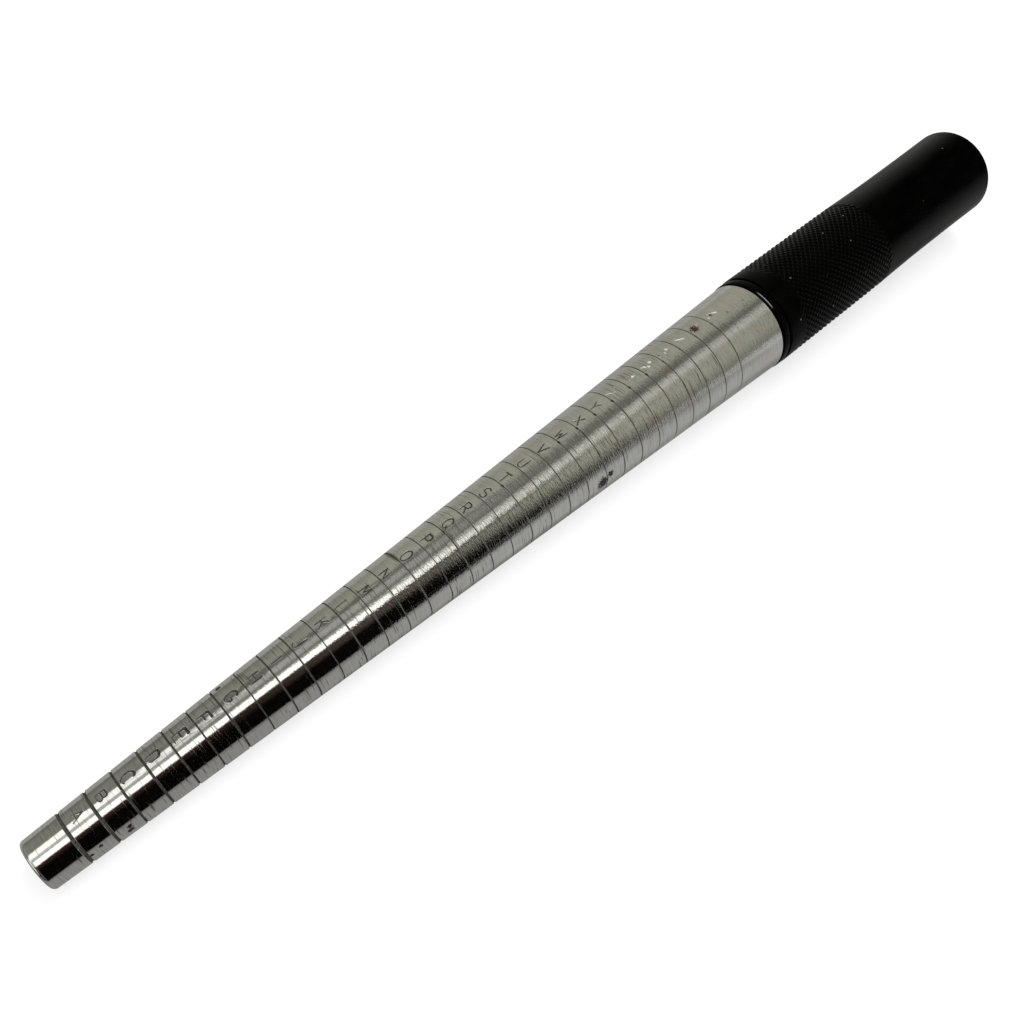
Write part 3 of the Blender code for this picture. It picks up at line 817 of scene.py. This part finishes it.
SWELL_RADIUS = 0.013
WAIST_RADIUS = 0.012675
HANDLE_END_RADIUS = 0.0129
SWELL_LENGTH = 0.0345
EASE_LENGTH = 0.028
KNURL_START = 0.0041
KNURL_STARTS = 45
KNURL_PITCH = 0.0018
KNURL_STEPS = 6
KNURL_ROWS = 130
KNURL_VALLEY = 0.00018
KNURL_CREST = 0.00004
KNURL_FLAT = 3.0
KNURL_RUN_IN = 0.0035
KNURL_END = KNURL_START + KNURL_ROWS * KNURL_PITCH / KNURL_STEPS
HANDLE_COLUMNS = KNURL_STARTS * KNURL_STEPS
HANDLE_ROWS = 40
HANDLE_SHARP = 22
FRONT_EDGE = 0.0004
END_EDGE = 0.0008
PLUG_SEAT_RADIUS = 0.0098
PLUG_SEAT_DEPTH = 0.0021
RECESS_RADIUS = 0.0085
WEB_REAR = 0.0661
WEB_FRONT = 0.0581
SCREW_HOLE_RADIUS = 0.0043
BLACK_COATING = (0.0003, 0.0003, 0.0003)
HANDLED_COATING = (0.0007, 0.0007, 0.0006)
DUST = (0.30, 0.29, 0.27)
DUST_SCALE = 0.3


def handle_radius(distance):
    """The handle's own surface: straight swell, cosine ease to the waist, curved flare."""
    if distance <= SWELL_LENGTH:
        return SWELL_RADIUS
    if distance <= SWELL_LENGTH + EASE_LENGTH:
        eased = (1 + math.cos(math.pi * (distance - SWELL_LENGTH) / EASE_LENGTH)) / 2
        return WAIST_RADIUS + (SWELL_RADIUS - WAIST_RADIUS) * eased
    flared = (distance - SWELL_LENGTH - EASE_LENGTH) / (HANDLE_LENGTH - SWELL_LENGTH - EASE_LENGTH)
    return WAIST_RADIUS + (HANDLE_END_RADIUS - WAIST_RADIUS) * flared ** 2


def dust_specks(place):
    """A few round specks of dust: the middles of some of a sparse pattern's cells."""
    nodes = place.id_data.nodes
    cells = nodes.new('ShaderNodeTexVoronoi')
    cells.inputs["Scale"].default_value = 1.0
    give(cells.inputs["Vector"], stretched(place, DUST_SCALE))
    drawn = nodes.new('ShaderNodeSeparateColor')
    give(drawn.inputs[0], cells.outputs["Color"])
    near = span(cells.outputs["Distance"], 0.04, 0.1, 1, 0)
    return times(near, span(drawn.outputs[0], 0.7, 0.72))


def black_anodised():
    material, shader, tool = new_material("satin_black_anodised")
    place = tool["Place"]
    fine, coarse, scratch = add_marks(place)
    grain = noise(place, 11.0, 3, 0.6)
    handled = span(noise(place, (0.12, 0.3, 0.3), 3), 0.3, 0.7)
    colour = blended(handled, BLACK_COATING, HANDLED_COATING)
    give(shader.inputs["Base Color"], blended(times(dust_specks(place), 0.25), colour, DUST))
    shader.inputs["Specular IOR Level"].default_value = 0.035
    give(shader.inputs["Roughness"], plus(span(grain, 0.25, 0.75, 0.17, 0.26), times(handled, 0.06)))
    bumped(shader, [(grain, 0.6), (fine, 0.35), (coarse, 0.3), (scratch, -0.3)], 0.000014)
    return material


anodised = black_anodised()


def knurled_band():
    """The band of knurling: two crossing sets of V cuts, each a whole number round the handle."""
    sizes = {"Rows": KNURL_ROWS + 1, "Starts": KNURL_STARTS, "Steps": KNURL_STEPS, "Pitch": KNURL_PITCH,
             "Start": HANDLE_FRONT + KNURL_START, "Valley": KNURL_VALLEY, "Crest": KNURL_CREST,
             "Flatness": KNURL_FLAT, "Run in": KNURL_RUN_IN, "Ease start": HANDLE_FRONT + SWELL_LENGTH,
             "Ease length": EASE_LENGTH, "Swell": SWELL_RADIUS, "Waist": WAIST_RADIUS}
    tree, given = new_tree("diamond knurling", sizes)
    columns = times(given["Starts"], given["Steps"])
    grid, row, column = rolled_grid(tree, given["Rows"], columns)
    round_cuts = over(column, given["Steps"])
    along_cuts = over(row, given["Steps"])
    nearest = 1
    for crossing in (plus, minus):
        cut = crossing(round_cuts, along_cuts)
        nearest = calc('MINIMUM', calc('ABSOLUTE', minus(cut, calc('ROUND', cut))), nearest)
    flat = calc('MINIMUM', times(nearest, given["Flatness"]), 1)
    height = minus(times(flat, plus(given["Valley"], given["Crest"])), given["Valley"])
    into_band = times(along_cuts, given["Pitch"])
    run_in = calc('MINIMUM', over(into_band, given["Run in"]), 1)
    before_end = calc('LESS_THAN', row, minus(given["Rows"], 1.5))
    height = times(height, times(run_in, before_end))
    along = plus(given["Start"], into_band)
    share = calc('MAXIMUM', over(minus(along, given["Ease start"]), given["Ease length"]), 0)
    eased = over(plus(calc('COSINE', times(share, math.pi)), 1), 2)
    swelling = times(minus(given["Swell"], given["Waist"]), eased)
    radius = plus(given["Waist"], swelling, height)
    roll_up(tree, grid, along, radius, over(times(column, math.tau), columns), anodised)
    mesh = grown("knurled_band", tree, sizes)
    bm = bmesh.new()
    bm.from_mesh(mesh)
    bmesh.ops.triangulate(bm, faces=bm.faces, quad_method='SHORT_EDGE')
    bm.to_mesh(mesh)
    bm.free()
    return mesh


def handle_body():
    """All of the handle but its knurled band, as one open half section from behind the band."""
    seat = HANDLE_END - PLUG_SEAT_DEPTH
    web_rear, web_front = HANDLE_FRONT + WEB_REAR, HANDLE_FRONT + WEB_FRONT
    section = []
    for i in range(HANDLE_ROWS + 1):
        distance = KNURL_END + (HANDLE_LENGTH - END_EDGE - KNURL_END) * i / HANDLE_ROWS
        section.append((HANDLE_FRONT + distance, handle_radius(distance)))
    section += rounded(section.pop(), (HANDLE_END, HANDLE_END_RADIUS - END_EDGE),
                       (HANDLE_END, HANDLE_END_RADIUS), steps=8)
    section += [(HANDLE_END, PLUG_SEAT_RADIUS), (seat, PLUG_SEAT_RADIUS), (seat, RECESS_RADIUS),
                (web_rear, RECESS_RADIUS), (web_rear, SCREW_HOLE_RADIUS), (web_front, SCREW_HOLE_RADIUS),
                (web_front, BORE_RADIUS), (HANDLE_FRONT, BORE_RADIUS)]
    section += rounded((HANDLE_FRONT, SWELL_RADIUS - FRONT_EDGE),
                       (HANDLE_FRONT + FRONT_EDGE, SWELL_RADIUS), (HANDLE_FRONT, SWELL_RADIUS), steps=6)
    section.append((HANDLE_FRONT + KNURL_START, SWELL_RADIUS))
    return turned("handle_body", section, HANDLE_COLUMNS)


handle_mesh = joined("handle_detail", [knurled_band(), handle_body()], HANDLE_SHARP)
dressed("handle_detail", handle_mesh, anodised, "handle")


# End plug: a black plastic cap, moulded with a thin skirt and pushed into the end of the handle,
# where it closes the recess over the head of the screw.

PLUG_RADIUS = 0.0095
PLUG_EDGE = 0.0004
PLUG_FLANGE = 0.0018
PLUG_LENGTH = 0.0078
PLUG_DISH = 0.00015
PLUG_COLUMNS = 128
PLUG_SHARP = 30
SKIRT_RADIUS = 0.0082
SKIRT_WALL = 0.0014
BLACK_PLASTIC = (0.014, 0.014, 0.0145)
SCUFFED_PLASTIC = (0.024, 0.0235, 0.023)


def moulded_plastic():
    material, shader, tool = new_material("moulded_black_plastic")
    grain = noise(tool["Place"], 7.0, 4, 0.6)
    cloud = noise(tool["Place"], 0.5, 3)
    give(shader.inputs["Base Color"], blended(cloud, BLACK_PLASTIC, SCUFFED_PLASTIC))
    give(shader.inputs["Roughness"], span(grain, 0.25, 0.75, 0.5, 0.66))
    bumped(shader, [(grain, 1.0)], 0.00002)
    return material


def plug_section():
    dish, flange, end = HANDLE_END - PLUG_DISH, HANDLE_END - PLUG_FLANGE, HANDLE_END - PLUG_LENGTH
    inside = SKIRT_RADIUS - SKIRT_WALL
    edge = rounded((HANDLE_END, PLUG_RADIUS - PLUG_EDGE), (HANDLE_END - PLUG_EDGE, PLUG_RADIUS),
                   (HANDLE_END, PLUG_RADIUS), steps=5)
    return [(dish, 0.0), (dish, PLUG_RADIUS - 3 * PLUG_EDGE), (HANDLE_END, PLUG_RADIUS - 2 * PLUG_EDGE),
            *edge, (flange, PLUG_RADIUS), (flange, SKIRT_RADIUS), (end, SKIRT_RADIUS), (end, inside),
            (flange, inside), (flange, 0.0)]


plug_mesh = joined("end_plug_detail", [turned("plug", plug_section(), PLUG_COLUMNS)], PLUG_SHARP)
dressed("end_plug_detail", plug_mesh, moulded_plastic(), "end_plug")


# Draw screw and washers: bought parts inside the handle, a cap screw of blackened steel over a
# plain and a spring washer of zinc plated steel.

def steel(name, scale, detail, colours, roughness, marks, distance):
    """Turned steel, which a coat of oil or zinc makes cloudy."""
    material, shader, tool = new_material(name)
    fine, coarse, _ = add_marks(tool["Place"])
    clouds = noise(tool["Place"], scale, detail)
    give(shader.inputs["Base Color"], blended(clouds, *colours))
    shader.inputs["Metallic"].default_value = 1.0
    give(shader.inputs["Roughness"], span(clouds, 0.3, 0.7, *roughness))
    bumped(shader, list(zip((fine, coarse), marks)), distance)
    return material


blackened = steel("blackened_steel", 0.9, 4, ((0.045, 0.045, 0.05), (0.12, 0.115, 0.11)),
                  roughness=(0.3, 0.48), marks=(0.6, 0.5), distance=0.00002)
plated = steel("zinc_plated_steel", 1.6, 3, ((0.42, 0.43, 0.45), (0.58, 0.58, 0.58)),
               roughness=(0.28, 0.42), marks=(0.5, 0.4), distance=0.000015)
for node, finish in (("draw_screw", blackened), ("plain_washer", plated), ("spring_washer", plated)):
    frame["nodes"][node].data.materials.clear()
    frame["nodes"][node].data.materials.append(finish)


# Studio: white paper under the tool, a softbox overhead, and glowing cards round it that only
# reflections show. They are hung and laid where the polished stick and the gloss of the handle
# mirror the photograph's bright, grey and dark bands.

FLOOR_HALF = 6
FLOOR_DROP = 0.0001
PAPER = (0.83, 0.83, 0.825)
PAPER_FIBRE = (0.85, 0.85, 0.845)
SEEN_PAPER = (0.27, 0.27, 0.27)
FIBRE_SCALE = 300.0


def seen_directly(tree):
    """1 where the camera, a reflection or a view through glass sees the surface, 0 for its light."""
    rays = tree.nodes.new('ShaderNodeLightPath')
    return calc('MAXIMUM', rays.outputs["Is Camera Ray"],
                calc('MAXIMUM', rays.outputs["Is Glossy Ray"], rays.outputs["Is Transmission Ray"]))


def floor_paper():
    """Paper that glows where it is seen, a little more far from the tool, so that it stays white."""
    material = bpy.data.materials.new("white_paper")
    material.use_nodes = True
    tree = material.node_tree
    shader = tree.nodes["Principled BSDF"]
    place = tree.nodes.new('ShaderNodeTexCoord').outputs["Object"]
    fibre = tree.nodes.new('ShaderNodeTexNoise')
    fibre.inputs["Scale"].default_value = FIBRE_SCALE
    give(fibre.inputs["Vector"], place)
    seen = seen_directly(tree)
    paper = blended(fibre.outputs["Fac"], PAPER, PAPER_FIBRE)
    give(shader.inputs["Base Color"], blended(seen, paper, SEEN_PAPER))
    shader.inputs["Emission Color"].default_value = (1.0, 1.0, 1.0, 1.0)
    glow = span(away_from(place, (0, 0, 0)), 0.5, 1.2, 0.7, 1)
    give(shader.inputs["Emission Strength"], times(seen, glow))
    shader.inputs["Roughness"].default_value = 0.9
    shader.inputs["Specular IOR Level"].default_value = 0.1
    return material


floor_mesh = bpy.data.meshes.new("floor")
floor_mesh.from_pydata([(x * FLOOR_HALF, y * FLOOR_HALF, -FLOOR_DROP)
                        for x, y in ((-1, -1), (1, -1), (1, 1), (-1, 1))], [], [(0, 1, 2, 3)])
floor_mesh.materials.append(floor_paper())
floor = placed("floor", floor_mesh)

CAMERA_ANGLE = 28.478
CARD_REACH = 0.4
CARD_GAP = 0.004
CARD_STEP = 2.5
LAID_DEPTH = 0.00008
LAID_GAP = 0.00002
TIP_PLACE = 0.15
TIP_SPREAD = 0.7
SPREAD_GAIN = 10.5
LEAST_SPREAD = 0.5


def card(name, corners, covers, brightness, place):
    """A card from rows of four points, which glows as far as it covers what is behind it."""
    faces = [(i, i + 1, i + 5, i + 4) for i in range(len(corners) - 4) if i % 4 < 3]
    mesh = bpy.data.meshes.new(name)
    mesh.from_pydata(corners, [], faces)
    mesh.transform(place)
    mesh.attributes.new("cover", 'FLOAT', 'POINT').data.foreach_set("value", covers)
    material = bpy.data.materials.new(name)
    material.cycles.emission_sampling = 'NONE'
    material.use_nodes = True
    nodes = material.node_tree.nodes
    nodes.clear()
    glow = nodes.new('ShaderNodeEmission')
    glow.inputs["Color"].default_value = (*brightness, 1.0)
    cover = nodes.new('ShaderNodeAttribute')
    cover.attribute_name = "cover"
    mix = nodes.new('ShaderNodeMixShader')
    give(mix.inputs[0], cover.outputs["Fac"])
    give(mix.inputs[1], nodes.new('ShaderNodeBsdfTransparent').outputs[0])
    give(mix.inputs[2], glow.outputs[0])
    give(nodes.new('ShaderNodeOutputMaterial').inputs["Surface"], mix.outputs[0])
    mesh.materials.append(material)
    sheet = placed(name, mesh)
    for ray in ("camera", "diffuse", "shadow", "transmission", "volume_scatter"):
        setattr(sheet, "visible_" + ray, False)


def hung_card(name, angles, lengths, soft_angles, soft_length, brightness, order,
              slant=0.0, twists=(0.0, 0.0)):
    """An arc round the tool's axis with soft edges, its angles in degrees from the camera's side.

    Its far end moves by the slant for each degree, its two sides turn by the twists for each metre,
    and cards of a higher order hang nearer.
    """
    (start, end), (near, far) = angles, lengths
    count = math.ceil((end - start) / CARD_STEP)
    corners, covers = [], []
    for i in range(count + 1):
        share = i / count
        turn = start + (end - start) * share
        twist = twists[0] + (twists[1] - twists[0]) * share
        edge = min((turn - start) / soft_angles[0], (end - turn) / soft_angles[1], 1.0)
        end_here = far + slant * (turn - start)
        for along, inside in ((near, 0), (near + soft_length, 1),
                              (end_here - soft_length, 1), (end_here, 0)):
            corners.append(on_tool(along, CARD_REACH - CARD_GAP * order,
                                   math.radians(CAMERA_ANGLE + turn + twist * along)))
            covers.append(edge * inside)
    card(name, corners, covers, brightness, lying)


def laid_card(name, lengths, sides, soft_length, brightness, order):
    """A card on the floor, soft at its ends and from its starting side to where it is full.

    It spreads as the tool widens, and cards of a higher order lie on top.
    """
    (near, far), (start, full, end) = lengths, sides
    corners, covers = [], []
    for side, edge, spreads in ((start, 0 if start > 0 else 1, True), (full, 1, True), (end, 1, False)):
        for along, inside in ((near, 0), (near + soft_length, 1), (far - soft_length, 1), (far, 0)):
            spread = max(TIP_SPREAD + SPREAD_GAIN * (along + TIP_PLACE), LEAST_SPREAD) if spreads else 1
            corners.append((along, -side * spread, LAID_GAP * order - LAID_DEPTH))
            covers.append(edge * inside)
    card(name, corners, covers, brightness, Matrix())


hung_card("wall_card", (-121, 62), (-0.9, 1.6), (0.5, 0.5), 0.1, (0.395, 0.39, 0.335), 0)
hung_card("low_wall_card", (28, 62), (-0.9, 1.6), (32, 0.5), 0.1, (0.215, 0.213, 0.187), 1)
hung_card("near_wall_card", (-121, -46), (-0.9, 0.17), (1, 1), 0.17, (0.25, 0.245, 0.215), 1)
hung_card("high_wall_card", (-121, -80), (-0.9, 1.6), (0.5, 30), 0.1, (0.345, 0.34, 0.29), 1.3)
hung_card("high_near_wall_card", (-121, -80), (-0.9, 0.2), (1, 30), 0.17, (0.185, 0.18, 0.16), 1.6)
hung_card("handle_wall_card", (-121, -80), (0.53, 1.6), (1, 14), 0.08, (0.72, 0.72, 0.68), 2)
hung_card("dim_card", (-70, -20), (-0.04, 0.08), (4, 4), 0.07, (0.155, 0.157, 0.14), 2, slant=0.0127)
hung_card("far_window_card", (-22, 1), (0.1, 1.5), (12, 7), 0.08, (0.56, 0.56, 0.53), 3)
hung_card("window_card", (-21.3, 0.4), (-0.3, 0.25), (4, 2.5), 0.14, (1.65, 1.65, 1.62), 4,
          twists=(43, 13))
hung_card("side_blind_card", (-52, -24), (-0.6, 0.25), (6, 10), 0.1, (0.42, 0.42, 0.4), 4)
hung_card("side_window_card", (-57, -31), (-0.6, 0.045), (4, 3), 0.09, (1.45, 1.45, 1.41), 5)
hung_card("blind_card", (-32, -20), (-0.6, 0.02), (2, 2), 0.09, (0.6, 0.6, 0.58), 5)
hung_card("ledge_card", (1, 8), (0.08, 0.32), (1, 3), 0.08, (0.06, 0.06, 0.055), 5.4, twists=(12, 12))
hung_card("dark_card", (0.3, 64.5), (-0.8, 0.205), (2, 1.5), 0.13, (0.002, 0.001, 0.001), 6,
          slant=0.0033, twists=(12, 0))
hung_card("brown_card", (0.3, 20), (-0.8, 0.12), (2.5, 14), 0.14, (0.036, 0.018, 0.015), 6.3,
          twists=(12, 0))
hung_card("far_brown_card", (0.3, 30), (0.02, 0.23), (4, 14), 0.1, (0.075, 0.054, 0.045), 6.6,
          twists=(12, 0))
hung_card("handle_dark_card", (-78, 62), (0.5, 1.6), (20, 0.5), 0.08, (0.0005, 0.0005, 0.0005), 7)
laid_card("far_table_card", (-1.5, 1.5), (-1.0, -0.5, 1.0), 0.1, (0.44, 0.44, 0.44), 0)
laid_card("near_table_card", (-1.5, -0.03), (-1.0, -0.5, 1.0), 0.07, (0.305, 0.302, 0.303), 1)
laid_card("tip_table_card", (-1.5, -0.155), (-1.0, -0.5, 1.0), 0.02, (0.215, 0.213, 0.217), 1.3)
laid_card("handle_table_card", (0.1, 1.5), (-1.0, -0.5, 1.0), 0.05, (0.75, 0.75, 0.74), 1)
# Painted shadow: the next two darker cards, seen only in reflections, stand for the tool's contact
# shadow on the table beside it
laid_card("contact_shadow_card", (-0.25, 0.06), (0.0075, 0.005, -0.012), 0.08, (0.215, 0.215, 0.21), 1.5)
laid_card("far_contact_shadow_card", (0.0, 0.2), (0.0075, 0.005, -0.02), 0.06, (0.25, 0.25, 0.245), 1.6)
laid_card("back_table_card", (-0.25, 0.3), (-0.004, -0.005, -0.6), 0.04, (0.385, 0.385, 0.372), 1.7)
laid_card("table_shade_card", (-1.5, 1.5), (0.0045, 0.028, 1.0), 0.1, (0.18, 0.18, 0.175), 2)
laid_card("far_shade_card", (0.02, 0.12), (0.012, 0.033, 1.0), 0.04, (0.26, 0.26, 0.255), 2.5)
laid_card("table_dark_card", (-0.3, 0.1), (0.018, 0.046, 1.0), 0.1, (0.001, 0.001, 0.001), 3)

LAMP_PLACE = Vector((0.1, -0.12, 0.75))
light = bpy.data.lights.new("overhead_softbox", 'AREA')
light.shape = 'RECTANGLE'
light.size, light.size_y = 1.4, 0.5
light.energy = 9.0
lamp = placed("overhead_softbox", light)
lamp.location = LAMP_PLACE
lamp.rotation_euler = (-LAMP_PLACE).to_track_quat('-Z', 'Y').to_euler()
lamp.visible_glossy = False

world = bpy.data.worlds.new("white_surround")
bpy.context.scene.world = world
world.use_nodes = True
world.cycles.sampling_method = 'NONE'
nodes = world.node_tree.nodes
nodes.clear()
background = nodes.new('ShaderNodeBackground')
background.inputs["Color"].default_value = (1.0, 1.0, 1.0, 1.0)
give(background.inputs["Strength"], plus(times(seen_directly(world.node_tree), 0.45), 0.55))
give(nodes.new('ShaderNodeOutputWorld').inputs["Surface"], background.outputs[0])


# Camera: it stands close to the tool's tip, on its near side, as in the photograph. Its place and
# focal length are those at which the grooves have the girths of the ring scale.

CAMERA_PLACE = Vector((-0.1247, -0.10618, 0.20239))
CAMERA_TURN = math.radians(-42.4506)
CAMERA_LIFT = math.radians(53.593)
SENSOR_MM = 36.0
FOCAL_PIXELS = 1020.82
IMAGE_PIXELS = 1024.0
camera_data = bpy.data.cameras.new("photo_camera")
camera_data.sensor_width = SENSOR_MM
camera_data.lens = SENSOR_MM * FOCAL_PIXELS / IMAGE_PIXELS
camera_data.clip_start = 0.01
camera = placed("photo_camera", camera_data)
camera.location = CAMERA_PLACE
camera.rotation_euler = (math.pi / 2 - CAMERA_LIFT, 0.0, CAMERA_TURN)
bpy.context.scene.camera = camera
bpy.context.scene.view_settings.view_transform = 'Standard'
